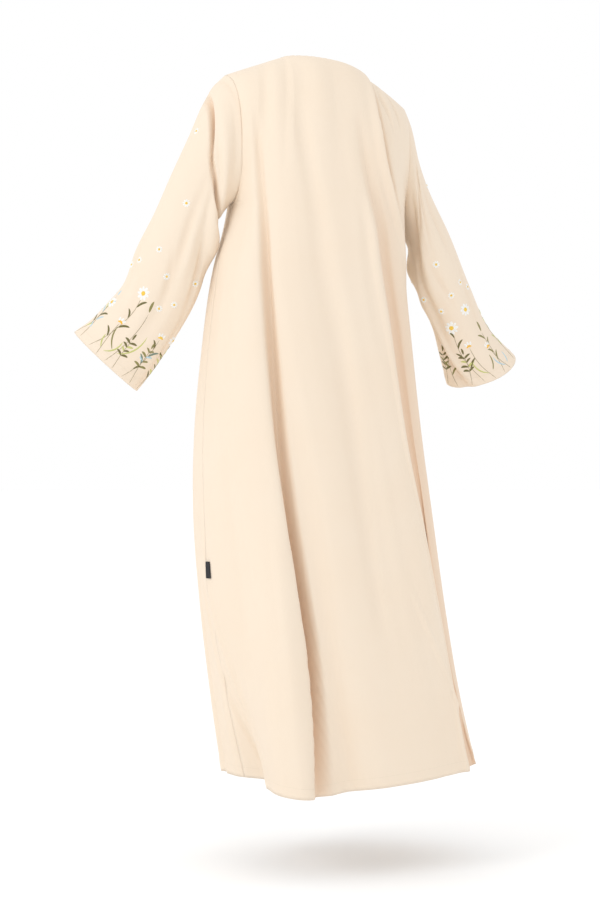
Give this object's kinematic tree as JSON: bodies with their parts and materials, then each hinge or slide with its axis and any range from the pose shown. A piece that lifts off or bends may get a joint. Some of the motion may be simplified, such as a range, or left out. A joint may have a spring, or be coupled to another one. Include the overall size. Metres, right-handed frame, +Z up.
{
  "type": "abaya cloak",
  "caption": "Full-length open-front cream abaya cloak with wide sleeves and embroidered cuffs, hanging empty as worn.",
  "frame": {"origin": "midway between the neck ends of the two shoulder seams, where the shoulders carry the cloak", "axes": "+Z up, -Y the way the wearer would face, +X the wearer's left"},
  "size_m": [0.8796, 0.4478, 1.4185],
  "materials": {
    "cream_crepe": "matte heavy crepe, plain weave with a fine pebbled face",
    "embroidery_thread": "satin-stitch thread in white with yellow, orange, olive, light green, sage and pale blue, on the sleeves only",
    "black_tape": "matte woven tape, folded double"
  },
  "bodies": {
    "root": {"back": "cream_crepe", "left_front": "cream_crepe", "right_front": "cream_crepe", "left_sleeve": "cream_crepe", "right_sleeve": "cream_crepe", "side_tab": "black_tape"}
  },
  "joints": []
}
